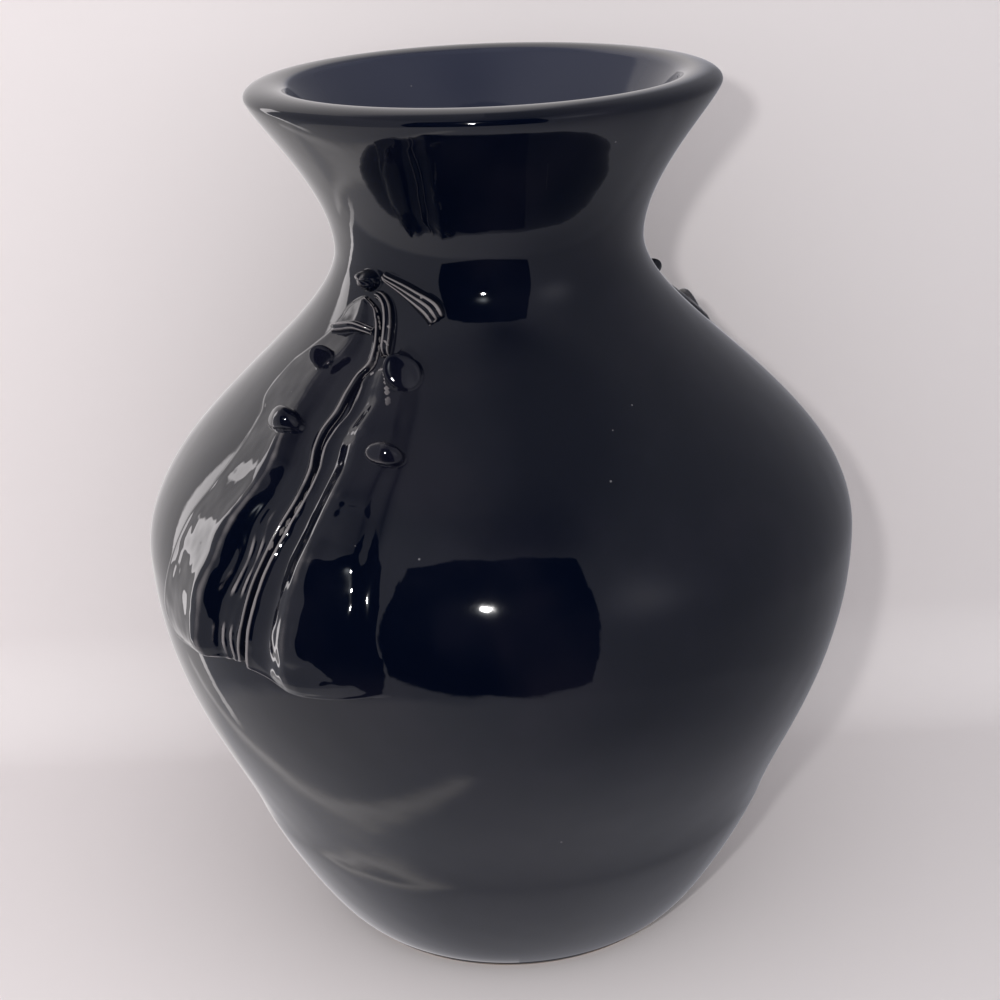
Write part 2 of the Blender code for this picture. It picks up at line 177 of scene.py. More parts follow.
# Faces of the rounds: (power of the side's curve, dish, slope down, slope to the front).
# The knot is a dome with lobes, which stand up by a share of its height
KNOT_FACE = (2.0, 0, 0, 0)
BACK_UPPER_FACE = (5.0, 0.1 * MM, 0.3, 0.85)
BACK_LOWER_FACE = (2.2, 0, 0.25, -0.2)
FRONT_UPPER_FACE = (5.0, 0.1 * MM, 0.46, 0.42)
FRONT_LOWER_FACE = (2.2, 0, 0.3, -0.2)
KNOT_LOBES = 3
KNOT_LOBE_SHARE = 0.25

# How the glaze runs over the clay: depth of the rims below the skin, fillets, rounded edges.
# The skins reach past the clay by a share of a lobe's width, or to so many half widths of a
# roll or round
SINK = 0.3 * MM
TUCK = 0.03 * MM
FILLET = 0.5 * MM
EDGE_ROUND = 1.0 * MM
BACK_LOBE_FAR_SLOPE = 4.5 * MM
FRONT_LOBE_FAR_SLOPE = 2.6 * MM
FRONT_LOBE_NEAR_FADE = 8 * MM
OUTSKIRT = 0.04
END_ROUND = 2.0 * MM
END_FADE = 0.3
SKIRT = 1.3
SKIRT_FADE = 0.2
ROLL_SKIRT_DROP = 1.5 * MM
ROUND_SKIRT_DROP = 3 * MM

# Welts along the lobes' edges. Pairs say between which distances from an end a welt rises, and
# the hem's fades out in a share of the width at the near edge
WELT = 0.5 * MM
WELT_INSET = 1.0 * MM
WELT_SPREAD = 0.6 * MM
HEM_WELT = 0.6 * WELT
HEM_WELT_FADE = 0.3
FAR_WELT = 0.35 * MM
FAR_WELT_INSET = 1.6 * MM
FAR_WELT_SPREAD = 0.8 * MM
FAR_WELT_FROM_HEM = (0.5 * MM, 3 * MM)
FAR_WELT_FROM_TOP = (1 * MM, 4 * MM)

# Folds beside the back lobe's seam, in shares of the lobe's width and length
FOLD_HEIGHT = 0.55 * MM
FOLD_PERIOD = 0.085
FOLDS_ACROSS = (0.70, 0.80)
FOLDS_DOWN = (0.48, 0.66)
FOLDS_NEAR_FADE = 0.04
FOLD_STRENGTH = 0.75
LEAST_FOLD_STRENGTH = 0.15

# Unevenness: (size, wavelength, seed). Each is a sum of waves, whose closeness varies by the spread
UNEVEN_WAVES = 14
UNEVEN_SPREAD = (0.7, 1.3)
FAR_WELT_WANDER = (0.5 * MM, 7 * MM, 6)
LOBE_LUMPS = (0.08 * MM, 9 * MM, 3)
LOBE_WAVES = (0.014 * MM, 3.6 * MM, 4)
FOLD_DRIFT = (0.03, 16 * MM, 7)
FOLD_FADING = (0.5, 11 * MM, 8)
BODY_LUMPS = (0.05 * MM, 34 * MM, 11)
BODY_WAVES = (0.012 * MM, 11 * MM, 12)

# Where the unevenness sets in: from a lobe's edges, in shares of its width, and from foot and lip
LOBE_UNEVEN_FROM_EDGE = (0.02, 0.2)
BODY_UNEVEN_FROM_FOOT = (4 * MM, 20 * MM)
BODY_UNEVEN_FROM_LIP = (0.5 * MM, 6 * MM)

# The front lobe and the rounds get the painted highlight on their far side only. The lobe's starts and is
# full at these shares of its width from the near edge. A round's fades between these half widths
LOBE_HIGHLIGHT_FROM_NEAR = (0.4, 0.6)
ROUND_HIGHLIGHT_TO_NEAR = (-0.3, 0.5)

# Patterns in the glaze: (scale, detail), and for patches also the noise where they start and are full
HAZE = (38, 5.0, 0.42, 0.75)
CLOUDS = (24, 6.0, 0.48, 0.72)
SMEARS = (120, 4.0, 0.5, 0.8)
PEEL = (260, 2.0)
GLAZE_LINE_PATTERN = (90, 2.0)
CLAY_GRAIN = (900, 3.0)

# Relief of the finest ripples, and the specks, which are small pits
PEEL_DEPTH = 0.016 * MM
SPECK_SCALE = 75.0
SPECK_RADIUS = (0.012, 0.028)
SPECK_PEEL = -1.5

# Heights where the clay is bare and glazed, and how far the line between them wanders
GLAZE_LINE = (0.9 * MM, 1.3 * MM)
GLAZE_LINE_WANDER = 0.8 * MM

# Where the throat's painted reflection starts and is full, by distance from the axis times the cosine of the
# turn outwards, where the painted highlight on ridges does, by pointiness, and how the smears hold it back
FACING_IN = (-0.01, -0.03)
RIDGE_POINTINESS = (0.506, 0.528)
SMEARED_HIGHLIGHT = (0.9, 0.0, 0.5, 1.0)

# Colours and finish of the glaze and of the bare clay
GLAZE_COLOUR = (0.0008, 0.0018, 0.0060, 1)
HAZE_COLOUR = (0.0028, 0.0036, 0.0086, 1)
CLOUD_COLOUR = (0.0038, 0.0042, 0.0090, 1)
# Painted reflection: the throat is coloured lighter and bluer in place of the lit room it mirrors
THROAT_PAINTED_REFLECTION = (0.026, 0.030, 0.050, 1)
SPECK_COLOUR = (0.10, 0.10, 0.11, 1)
# Painted highlight: light grey on the relief's ridges, in place of the light they mirror
RIDGE_HIGHLIGHT_COLOUR = (0.17, 0.16, 0.165, 1)
CLAY_DARK = (0.20, 0.14, 0.10, 1)
CLAY_LIGHT = (0.34, 0.26, 0.19, 1)
GLAZE_ROUGHNESS = 0.022
HAZE_ROUGHNESS = 0.025
SMEAR_ROUGHNESS = 0.03
SPECK_ROUGHNESS = 0.3
CLAY_ROUGHNESS = 0.7
GLAZE_IOR = 1.53

# Pale board under and behind the vase, in the picture frame, with painted shade darkening it to the right
BOARD_BACK = 0.105
BOARD_BEND = 0.035
BOARD_BEND_STEPS = 25
BOARD_TOP = 3.0
BOARD_SIDE = 5.0
BOARD_FRONT = -3.0
BOARD_SHADE_FADE = (-0.3, 0.3)
BOARD_LEFT = (0.80, 0.765, 0.77, 1)
BOARD_SHADED_RIGHT = (0.66, 0.64, 0.65, 1)
BOARD_ROUGHNESS = 0.85
BOARD_SPECULAR = 0.1

# Flash beside the lens, in the picture frame, and the place on the belly that mirrors it. The
# core and halo that the glaze mirrors are (sharpness, tone)
FLASH_AT = (-0.046, -CAMERA_DISTANCE - 0.01, 0.345)
FLASH_AIM = (0, 0, 0.13)
FLASH_SIZE = 22 * MM
FLASH_POWER = 0.9
FLASH_COLOUR = (1.0, 0.97, 0.95)
FLASH_MIRRORED_AT = (0, -0.06, 0.12)
FLASH_CORE = (700.0, 2.4)
FLASH_HALO = (120.0, 0.07)
FLASH_TINT = (0.9, 0.95, 1.0)

# The room's slopes are measured from the vase, and none is taken from a length under the least
LEAST_LENGTH = 0.001

# Doorway behind the camera: (low, high, softness) as slopes across and up
DOORWAY_ACROSS = (-0.775, 0.56, 0.02)
DOORWAY_UPWARD = (-0.72, 1.25, 0.04)

# Walls, ceiling and floor, by azimuth or elevation in degrees: where a change starts and is full,
# in some with its two tones. The glow and the shade are bells of (centre, width)
WALL_TONE = (-60, 80, 0.43, 0.28)
PALE_WALL_TONE = 0.87
PALE_WALL_LEFT = (-120, -127)
PALE_WALL_RIGHT = (165, 178)
CEILING_FROM = (48, 64)
CEILING_TONE = (-60, 40, 0.30, 0.20)
FLOOR_FROM = (-34, -38)
FLOOR_FADE = (-75, 60)
FLOOR_LEFT_TONE = 0.72
FLOOR_RIGHT_TONE = 0.32
NEAR_FLOOR_FROM = (-42, -75)
NEAR_FLOOR_TONE = 0.53
GLOW_AZIMUTH = (46, 11)
GLOW_ELEVATION = (20, 12)
GLOW_TONE = 0.3
SHADE_AZIMUTH = (14, 30)
SHADE_ELEVATION = (56, 11)
SHADE_DEPTH = 0.6

# Light strip at the back left, narrower below: its half width and tone change with the elevation
STRIP_AZIMUTH = -124.1
STRIP_REACH = (-8, 8, 1.9, 6.4)
STRIP_SIDES = (1.0, 0.75)
STRIP_ENDS = (-42, 25, 4)
STRIP_TONE = (-36, -26, 1.1, 2.6)

# Light line on the floor, in slopes to the right and to the rear. It starts and is full where the
# way down is this steep
LINE_PLACE = 0.47
LINE_SLANT = 0.55
LINE_WIDTH = 0.05
LINE_ENDS = (-0.52, 1.3, 0.1)
LINE_BELOW = (-0.35, -0.45)
LINE_TONE = 0.42

# Tints of the mirrored room, by its tone, and the plain light and backdrop that other rays meet
TINT_FADE = (0.45, 0.9)
DARK_TINT = (0.965, 0.955, 1.05, 1)
PALE_TINT = (1.0, 0.955, 0.965, 1)
PLAIN_LIGHT = (1.12, 1.09, 1.10, 1)
BACKDROP = (0.62, 0.595, 0.60, 1)

# Facets of the skins
SEGMENTS = 288
PROFILE_STEPS = (24, 60, 120, 64)
HOLLOW_ROWS = slice(4, -6, 3)
LIP_STEPS = 48
THROAT_STEPS = 40
FLOOR_STEPS = 16
LOBE_ROWS = 260
LOBE_COLUMNS = 120
ROLL_ROWS = 140
ROLL_COLUMNS = 40
ROUND_CELLS = 48
FINE_STEPS = 120
FIND_STEPS = 12
SHARP_ANGLE = 40


def bezier(start, start_pull, end_pull, end, steps):
    """Points along a cubic curve, its last one left out."""
    t = np.linspace(0, 1, steps, endpoint=False)[:, None]
    points = [np.asarray(p, float) for p in (start, start_pull, end_pull, end)]
    weights = ((1 - t) ** 3, 3 * (1 - t) ** 2 * t, 3 * (1 - t) * t ** 2, t ** 3)
    return sum(weight * point for weight, point in zip(weights, points))


def heading(angle):
    """Unit vector (out, up) at this angle above the horizontal."""
    return np.array([np.cos(np.radians(angle)), np.sin(np.radians(angle))])


def lip_point(angle):
    """(radius, height) on the lip's ellipse."""
    out, up = heading(angle)
    return np.array([
        MOUTH_RADIUS - LIP_HALF_WIDTH + LIP_HALF_WIDTH * out,
        HEIGHT - LIP_HALF_HEIGHT + LIP_HALF_HEIGHT * up,
    ])


def lip_heading(angle):
    """Unit tangent of the lip's ellipse, turning from outside over the top."""
    out, up = heading(angle)
    tangent = np.array([-LIP_HALF_WIDTH * up, LIP_HALF_HEIGHT * out])
    return tangent / np.linalg.norm(tangent)


def outer_side(foot_steps, lower_steps, shoulder_steps, neck_steps):
    """(radius, height) up the outer side of the shell, from foot to lip."""
    foot = np.array([FOOT_RADIUS, FOOT_EDGE])
    lower = np.array([LOWER_RADIUS, LOWER_HEIGHT])
    belly = np.array([BELLY_RADIUS, BELLY_HEIGHT])
    neck = np.array([NECK_RADIUS, NECK_HEIGHT])
    lip = lip_point(LIP_OUTER_JOIN)
    up = heading(90)
    lean = heading(LOWER_ANGLE)
    flare = lip_heading(LIP_OUTER_JOIN)
    splay = heading(FOOT_ANGLE)
    return np.concatenate([
        bezier(foot, foot + FOOT_PULL * splay, lower - LOWER_PULL_DOWN * lean, lower, foot_steps),
        bezier(lower, lower + LOWER_PULL_UP * lean, belly - BELLY_PULL_DOWN * up, belly, lower_steps),
        bezier(belly, belly + BELLY_PULL_UP * up, neck - NECK_PULL_DOWN * up, neck, shoulder_steps),
        bezier(neck, neck + NECK_PULL_UP * up, lip - LIP_PULL * flare, lip, neck_steps),
        [lip],
    ])


def outward(curve):
    """Unit normals of a curve that runs up the outer side."""
    along = np.gradient(curve, axis=0)
    normal = np.stack([along[:, 1], -along[:, 0]], axis=1)
    return normal / np.linalg.norm(normal, axis=1)[:, None]


SEAT = outer_side(FINE_STEPS, FINE_STEPS, FINE_STEPS, FINE_STEPS)
SEAT_NORMAL = outward(SEAT)
RELIEF_TOP = NECK_HEIGHT - KNOT_DROP
RELIEF_DROP = RELIEF_TOP - (BELLY_HEIGHT - HEM_DROP)


def glide(stations, at):
    """Smooth curve through (position, value) stations, read at these positions."""
    x, y = np.array(stations, float).T
    slopes = np.gradient(y, x)
    at = np.clip(at, x[0], x[-1])
    i = np.clip(np.searchsorted(x, at) - 1, 0, len(x) - 2)
    width = x[i + 1] - x[i]
    t = (at - x[i]) / width
    return (
        (1 + 2 * t) * (1 - t) ** 2 * y[i]
        + t * (1 - t) ** 2 * width * slopes[i]
        + t ** 2 * (3 - 2 * t) * y[i + 1]
        + t ** 2 * (t - 1) * width * slopes[i + 1]
    )


def crowded(steps):
    """Numbers from 0 to 1, closer together towards both ends."""
    return (1 - np.cos(np.pi * np.linspace(0, 1, steps + 1))) / 2


def bump(x, centre, width):
    """Bell curve of height 1."""
    return np.exp(-(((x - centre) / width) ** 2))


def ease(x, low, high):
    """Smooth step from 0 at low to 1 at high."""
    t = np.clip((x - low) / (high - low), 0, 1)
    return t * t * (3 - 2 * t)


def quarter_round(x):
    """Rises from 0 at 0 to 1 at 1 as a quarter circle does."""
    return np.sqrt(1 - (1 - np.clip(x, 0, 1)) ** 2)


def pooled(low, high, fillet):
    """The higher of two lifts, with a fillet of glaze where they cross."""
    h = np.clip(0.5 + 0.5 * (high - low) / fillet, 0, 1)
    return low + (high - low) * h + fillet * h * (1 - h)


def unevenness(points, size, wavelength, seed):
    """Smooth random heights at these points, of about this size either way."""
    rng = np.random.default_rng(seed)
    way = rng.normal(size=(3, UNEVEN_WAVES))
    way *= 2 * np.pi / wavelength / np.linalg.norm(way, axis=0) * rng.uniform(*UNEVEN_SPREAD, UNEVEN_WAVES)
    phase = rng.uniform(0, 2 * np.pi, UNEVEN_WAVES)
    return size * (np.sin(points @ way + phase).sum(axis=-1) / np.sqrt(UNEVEN_WAVES))


def across_seam(share, angle):
    """The front lobe's side of the seam, opposite a place on the back lobe's side."""
    gap = SEAM_GAP + SEAM_OPENING * bump(share, SEAM_OPENING_SHARE, SEAM_OPENING_SHARE_SPREAD)
    return share, angle + np.degrees(gap / BELLY_RADIUS)


class Group:
    """Where one group of relief lies on the shell. Places are (share of the drop, degrees from the knot)."""

    def __init__(self, prefix):
        self.prefix = prefix
        self.turn = GROUPS[prefix]

    def shell(self, share):
        """Height, radius and normal (out, up) of the shell's outer side."""
        height = RELIEF_TOP - RELIEF_DROP * share
        radius = np.interp(height, SEAT[:, 1], SEAT[:, 0])
        out = np.interp(height, SEAT[:, 1], SEAT_NORMAL[:, 0])
        up = np.interp(height, SEAT[:, 1], SEAT_NORMAL[:, 1])
        return height, radius, out, up

    def seat(self, share, angle, lift):
        """Points lifted along the shell's normal."""
        height, radius, out, up = self.shell(share)
        reach = radius + lift * out
        turn = np.radians(angle + self.turn)
        return np.stack([-reach * np.cos(turn), -reach * np.sin(turn), height + lift * up], axis=-1)

    def walk(self, share, angle, down, across):
        """The place reached by metres down the shell's slope and across it."""
        _, radius, steepness, _ = self.shell(share)
        return share + down * steepness / RELIEF_DROP, angle + np.degrees(across / radius)

    def heading(self, share, angle):
        """Unit directions (down, across) of the path through these places."""
        _, radius, steepness, _ = self.shell(share)
        run = np.stack([
            np.gradient(share) * RELIEF_DROP / steepness,
            np.radians(np.gradient(angle)) * radius,
        ], axis=1)
        return run / np.linalg.norm(run, axis=1)[:, None]


class Lobe:
    """A long convex fold that hangs on the shell between two edges.

    Its glaze slopes up from the far edge. At the near edge it fades into the shell, or is
    rounded off with a welt. Shallow folds of the given height run down beside the near edge.
    """

    def __init__(self, group, far_edge, near_edge, section, near_rim, hem_bulge, far_slope, fades, folds):
        self.group = group
        self.far_edge = far_edge
        self.near_edge = near_edge
        self.section = section
        self.near_rim = near_rim
        self.hem_bulge = hem_bulge / RELIEF_DROP
        self.far_slope = far_slope
        self.fades = fades
        self.folds = folds

    def place(self, u, v):
        """The place at u down the lobe and v across it."""
        far_share = self.far_edge[0][0] + u * (self.far_edge[-1][0] - self.far_edge[0][0])
        near_share = self.near_edge[0][0] + u * (self.near_edge[-1][0] - self.near_edge[0][0])
        far = glide(self.far_edge, far_share)
        near = glide(self.near_edge, near_share)
        bulge = self.hem_bulge * u ** HEM_BULGE_POWER * np.sin(np.pi * v)
        return far_share + v * (near_share - far_share) + bulge, far + v * (near - far)

    def find(self, share, angle):
        """(u, v) of a place, closed in on by steps."""
        u = np.clip((share - self.far_edge[0][0]) / (self.far_edge[-1][0] - self.far_edge[0][0]), 0, 1)
        v = np.full_like(u, 0.5)
        for _ in range(FIND_STEPS):
            share_there, _ = self.place(u, v)
            u = np.clip(u + share - share_there, 0, 1)
            _, far = self.place(u, 0 * v)
            _, near = self.place(u, 0 * v + 1)
            v = np.clip((angle - far) / (near - far), 0, 1)
        return u, v

    def rise(self, u, v):
        """Thickness of the clay at u down the lobe and v across it."""
        share, _ = self.place(u, v)
        section = glide(self.section, v)
        growth = np.clip(u / CREST_GROWTH, 0, 1) ** CREST_GROWTH_POWER
        hem = quarter_round((1 - u) * RELIEF_DROP / HEM_ROUND)
        crease = (
            CREASE_DEPTH
            * bump(share, CREASE_SHARE_DOWN, CREASE_SHARE_DOWN_SPREAD)
            * bump(v, CREASE_SHARE_ACROSS, CREASE_SHARE_ACROSS_SPREAD)
        )
        ripple = RIPPLE * np.sin(2 * np.pi * RIPPLE_COUNT * u + RIPPLE_SLANT * v)
        rim = LOBE_RIM + v * (self.near_rim - LOBE_RIM)
        return rim + (LOBE_CREST + ripple - crease) * section * growth * hem

    def edge(self, u, v, width):
        """How far the glaze has risen from the shell: 0 at the lobe's edges, 1 inside them."""
        edge = ease(v * width, -OUTSKIRT * width, self.far_slope)
        edge = edge * quarter_round((1 - u) * RELIEF_DROP / EDGE_ROUND)
        edge = edge * quarter_round(u * RELIEF_DROP / EDGE_ROUND)
        if self.fades:
            return edge * ease((1 - v) * width, 0, FRONT_LOBE_NEAR_FADE)
        return edge * quarter_round((1 - v) * width / EDGE_ROUND)

    def welts(self, u, v, width, at):
        """Thin raised lines along the near edge, the hem and the far edge."""
        to_hem = (1 - u) * RELIEF_DROP
        near = 0 if self.fades else WELT * bump((1 - v) * width, WELT_INSET, WELT_SPREAD)
        hem = HEM_WELT * bump(to_hem, WELT_INSET, WELT_SPREAD) * ease(1 - v, 0, HEM_WELT_FADE)
        wander = unevenness(at, *FAR_WELT_WANDER)
        far = FAR_WELT * bump(v * width + wander, FAR_WELT_INSET, FAR_WELT_SPREAD)
        ends = ease(to_hem, *FAR_WELT_FROM_HEM) * ease(u * RELIEF_DROP, *FAR_WELT_FROM_TOP)
        return near + hem + far * ends

    def near_folds(self, u, v, at):
        """Shallow folds down beside the near edge, uneven in height and course."""
        drift = unevenness(at, *FOLD_DRIFT)
        strength = np.clip(FOLD_STRENGTH + unevenness(at, *FOLD_FADING), LEAST_FOLD_STRENGTH, 1)
        height = self.folds * strength * ease(v, *FOLDS_ACROSS) * ease(u, *FOLDS_DOWN)
        height = height * ease(1 - v, 0, FOLDS_NEAR_FADE)
        return height * (0.5 - 0.5 * np.cos(2 * np.pi * (v + drift - FOLDS_ACROSS[0]) / FOLD_PERIOD))

    def lift(self, u, v):
        """Height of the glaze above the shell."""
        share, angle = self.place(u, v)
        _, far = self.place(u, 0 * v)
        _, near = self.place(u, 0 * v + 1)
        _, radius, _, _ = self.group.shell(share)
        width = np.radians(near - far) * radius
        at = self.group.seat(share, angle, 0 * share)
        edge = self.edge(u, v, width)
        welts = self.welts(u, v, width, at)
        lumps = unevenness(at, *LOBE_LUMPS) + unevenness(at, *LOBE_WAVES)
        lumps = lumps * ease(np.minimum(v, 1 - v), *LOBE_UNEVEN_FROM_EDGE)
        folds = self.near_folds(u, v, at)
        full = SEAT_GAP + self.rise(u, np.clip(v, 0, 1)) + lumps + folds + welts
        return pooled(0, -SINK + (SINK + full) * edge, FILLET) - TUCK * (1 - edge)

    def top(self, share, angle):
        """Lift of the lobe's glaze above the shell at a place."""
        return self.lift(*self.find(share, angle))


def bare_shell(share, angle):
    """Lift of the shell itself: none."""
    return np.zeros_like(share + angle)


class Nodes:
    """Adds nodes to a shader tree and links them."""

    def __init__(self, tree):
        self.tree = tree

    def add(self, kind, values=None, **settings):
        """A node with its settings, and values or links for its sockets."""
        node = self.tree.nodes.new(kind)
        for key, value in settings.items():
            setattr(node, key, value)
        for key, value in (values or {}).items():
            self.join(value, node.inputs[key])
        return node

    def join(self, value, socket):
        """Links a socket to this one, or sets its value."""
        if isinstance(value, bpy.types.NodeSocket):
            self.tree.links.new(value, socket)
        else:
            socket.default_value = value

    def math(self, operation, a, b=0.0):
        """Output of a math node."""
        return self.add("ShaderNodeMath", {0: a, 1: b}, operation=operation).outputs[0]

    def times(self, a, b):
        """Product of two values."""
        return self.math("MULTIPLY", a, b)

    def plus(self, a, b):
        """Sum of two values."""
        return self.math("ADD", a, b)

    def vector_math(self, operation, values):
        """A vector math node."""
        return self.add("ShaderNodeVectorMath", values, operation=operation)

    def dot(self, a, b):
        """Dot product of two vectors."""
        return self.vector_math("DOT_PRODUCT", {0: a, 1: b}).outputs["Value"]

    def scaled(self, vector, factor):
        """A vector times a value."""
        return self.vector_math("SCALE", {0: vector, "Scale": factor}).outputs[0]

    def ramp(self, value, low, high, to_low=0.0, to_high=1.0):
        """Smooth step of a value."""
        values = {"Value": value, "From Min": low, "From Max": high, "To Min": to_low, "To Max": to_high}
        return self.add("ShaderNodeMapRange", values, interpolation_type="SMOOTHSTEP").outputs["Result"]

    def span(self, value, low, high, soft):
        """1 between two bounds and 0 outside them."""
        above = self.ramp(value, low, low + soft)
        return self.times(above, self.ramp(value, high - soft, high, 1.0, 0.0))

    def bell(self, value, centre, width):
        """Bell curve of height 1."""
        off = self.math("DIVIDE", self.math("SUBTRACT", value, centre), width)
        return self.math("POWER", float(np.exp(-1)), self.times(off, off))

    def blend(self, factor, a, b):
        """Mix of two values."""
        node = self.add("ShaderNodeMix", data_type="FLOAT")
        self.join(factor, node.inputs[0])
        self.join(a, node.inputs[2])
        self.join(b, node.inputs[3])
        return node.outputs[0]

    def noise(self, vector, scale, detail):
        """Output of a noise texture."""
        values = {"Vector": vector, "Scale": scale, "Detail": detail}
        return self.add("ShaderNodeTexNoise", values).outputs["Fac"]

    def patches(self, vector, scale, detail, low, high):
        """Soft patches, 0 where the noise is low and 1 where it is high."""
        return self.ramp(self.noise(vector, scale, detail), low, high)

    def colour(self, factor, a, b):
        """Mix of two colours."""
        node = self.add("ShaderNodeMix", data_type="RGBA")
        self.join(factor, node.inputs[0])
        self.join(a, node.inputs[6])
        self.join(b, node.inputs[7])
        return node.outputs[2]


def throat_painted_reflection(nodes, place, colour):
    """Painted reflection: a lighter, bluer colour on faces that look towards the axis."""
    outwards = nodes.vector_math("MULTIPLY", {0: place, 1: (1.0, 1.0, 0.0)}).outputs[0]
    normal = nodes.add("ShaderNodeTexCoord").outputs["Normal"]
    return nodes.colour(nodes.ramp(nodes.dot(outwards, normal), *FACING_IN), colour, THROAT_PAINTED_REFLECTION)


def bare_foot(nodes, place):
    """Where the foot is bare of glaze, and the colour of its clay."""
    up = nodes.add("ShaderNodeSeparateXYZ", {"Vector": place}).outputs["Z"]
    wander = nodes.times(nodes.noise(place, *GLAZE_LINE_PATTERN), GLAZE_LINE_WANDER)
    bare = nodes.ramp(nodes.plus(up, wander), *GLAZE_LINE, 1.0, 0.0)
    return bare, nodes.colour(nodes.noise(place, *CLAY_GRAIN), CLAY_DARK, CLAY_LIGHT)


def painted_ridge_highlight(nodes, smears):
    """Painted highlight on ridges: less so under smears, as far as the skin's highlight mask says."""
    ridge = nodes.add("ShaderNodeNewGeometry").outputs["Pointiness"]
    highlight_mask = nodes.add("ShaderNodeAttribute", attribute_name="highlight_mask").outputs["Fac"]
    highlit = nodes.times(nodes.ramp(ridge, *RIDGE_POINTINESS), nodes.ramp(smears, *SMEARED_HIGHLIGHT))
    return nodes.times(highlit, highlight_mask)


def glaze(name, body=False, relief=False):
    """Mirror-black glaze with a faint blue, small ripples, thin haze and a few specks.

    The body's has a painted reflection in the throat and a bare foot, the relief's a painted highlight on
    ridges.
    """
    material = bpy.data.materials.new(name)
    material.use_nodes = True
    nodes = Nodes(material.node_tree)
    shader = material.node_tree.nodes["Principled BSDF"]
    place = nodes.add("ShaderNodeTexCoord").outputs["Object"]
    haze = nodes.patches(place, *HAZE)
    smears = nodes.patches(place, *SMEARS)
    cells = nodes.add("ShaderNodeTexVoronoi", {"Vector": place, "Scale": SPECK_SCALE}).outputs["Distance"]
    speck = nodes.ramp(cells, *SPECK_RADIUS, 1.0, 0.0)
    colour = nodes.colour(haze, GLAZE_COLOUR, HAZE_COLOUR)
    colour = nodes.colour(nodes.patches(place, *CLOUDS), colour, CLOUD_COLOUR)
    if body:
        # Painted reflection: lighter, bluer colour in the throat
        colour = throat_painted_reflection(nodes, place, colour)
    colour = nodes.colour(speck, colour, SPECK_COLOUR)
    rough = nodes.plus(nodes.times(haze, HAZE_ROUGHNESS), GLAZE_ROUGHNESS)
    rough = nodes.plus(rough, nodes.times(smears, SMEAR_ROUGHNESS))
    rough = nodes.plus(rough, nodes.times(speck, SPECK_ROUGHNESS))
    peel = nodes.plus(nodes.noise(place, *PEEL), nodes.times(speck, SPECK_PEEL))
    bumps = nodes.add("ShaderNodeBump", {"Strength": 1.0, "Distance": PEEL_DEPTH, "Height": peel})
    if body:
        bare, clay = bare_foot(nodes, place)
        colour = nodes.colour(bare, colour, clay)
        rough = nodes.plus(rough, nodes.times(bare, CLAY_ROUGHNESS))
    if relief:
        # Painted highlight: light grey on the relief's ridges
        colour = nodes.colour(painted_ridge_highlight(nodes, smears), colour, RIDGE_HIGHLIGHT_COLOUR)
    nodes.join(colour, shader.inputs["Base Color"])
    nodes.join(rough, shader.inputs["Roughness"])
    nodes.join(bumps.outputs["Normal"], shader.inputs["Normal"])
    shader.inputs["IOR"].default_value = GLAZE_IOR
    return material


def skin(name, points, faces, node, material):
    """A smooth mesh that stands for a node of the frame."""
    mesh = bpy.data.meshes.new(name)
    mesh.from_pydata(points.tolist(), [], faces)
    mesh.shade_smooth()
    mesh.materials.append(material)
    piece = bpy.data.objects.new(name, mesh)
    bpy.context.scene.collection.objects.link(piece)
    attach(piece, "root")
    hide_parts(node)
    return piece


def sheet_faces(rows, columns):
    """Quads of a grid, facing outwards when rows run down and columns run towards the front."""
    i, j = np.meshgrid(np.arange(rows - 1), np.arange(columns - 1), indexing="ij")
    a = (i * columns + j).ravel()
    return np.stack([a, a + columns, a + columns + 1, a + 1], axis=1).tolist()


def relief_skin(group, name, points, highlight_mask=1.0):
    """A glazed sheet of the relief, with a painted highlight on its ridges where the highlight mask is 1."""
    rows, columns = points.shape[:2]
    node = group.prefix + name
    faces = sheet_faces(rows, columns)
    piece = skin(node + "_glaze", points.reshape(-1, 3), faces, node, RELIEF_GLAZE)
    attribute = piece.data.attributes.new("highlight_mask", "FLOAT", "POINT")
    attribute.data.foreach_set("value", np.broadcast_to(highlight_mask, (rows, columns)).ravel().astype(np.float32))


def body_section():
    """(radius, height) round the wall: floor, hollow, throat, lip, outer side and foot."""
    outer = outer_side(*PROFILE_STEPS)
    lip_angles = np.linspace(LIP_INNER_JOIN, LIP_OUTER_JOIN, LIP_STEPS, endpoint=False)
    lip = [lip_point(angle) for angle in lip_angles]
    neck_index = sum(PROFILE_STEPS[:3])
    hollow = (outer - WALL * outward(outer))[PROFILE_STEPS[0]:neck_index + 1]
    hollow[-1] = (NECK_RADIUS - WALL, NECK_HEIGHT)
    hollow = np.concatenate([hollow[:1], hollow[HOLLOW_ROWS], hollow[-1:]])
    floor_edge = np.array([FLOOR_RADIUS, FLOOR])
    floor_round = bezier(
        floor_edge, floor_edge + FLOOR_PULL * heading(0),
        hollow[0] - FLOOR_PULL * heading(LOWER_ANGLE), hollow[0], FLOOR_STEPS,
    )
    throat = bezier(
        hollow[-1], hollow[-1] + THROAT_PULL_UP * heading(90),
        lip[0] + THROAT_PULL_DOWN * lip_heading(LIP_INNER_JOIN), lip[0], THROAT_STEPS,
    )
    ring_outer = FOOT_RADIUS - FOOT_EDGE
    ring_inner = FOOT_RADIUS - FOOT_RING_WIDTH
    return np.concatenate([
        [(0, FLOOR), (FLOOR_RADIUS / 2, FLOOR)], floor_round, hollow[:-1], throat, lip, outer[::-1],
        [(ring_outer + out * FOOT_EDGE, up * FOOT_EDGE) for out, up in FOOT_EDGE_ROUND],
        [(ring_inner, 0), (ring_inner - FOOT_RECESS, FOOT_RECESS), (0, FOOT_RECESS)],
    ])


def turned_faces(rows):
    """Quads of a section with so many points, turned round Z."""
    faces = []
    for i in range(rows - 1):
        row, below = i * SEGMENTS, (i + 1) * SEGMENTS
        for j in range(SEGMENTS):
            k = (j + 1) % SEGMENTS
            faces.append((row + j, below + j, below + k, row + k))
    return faces


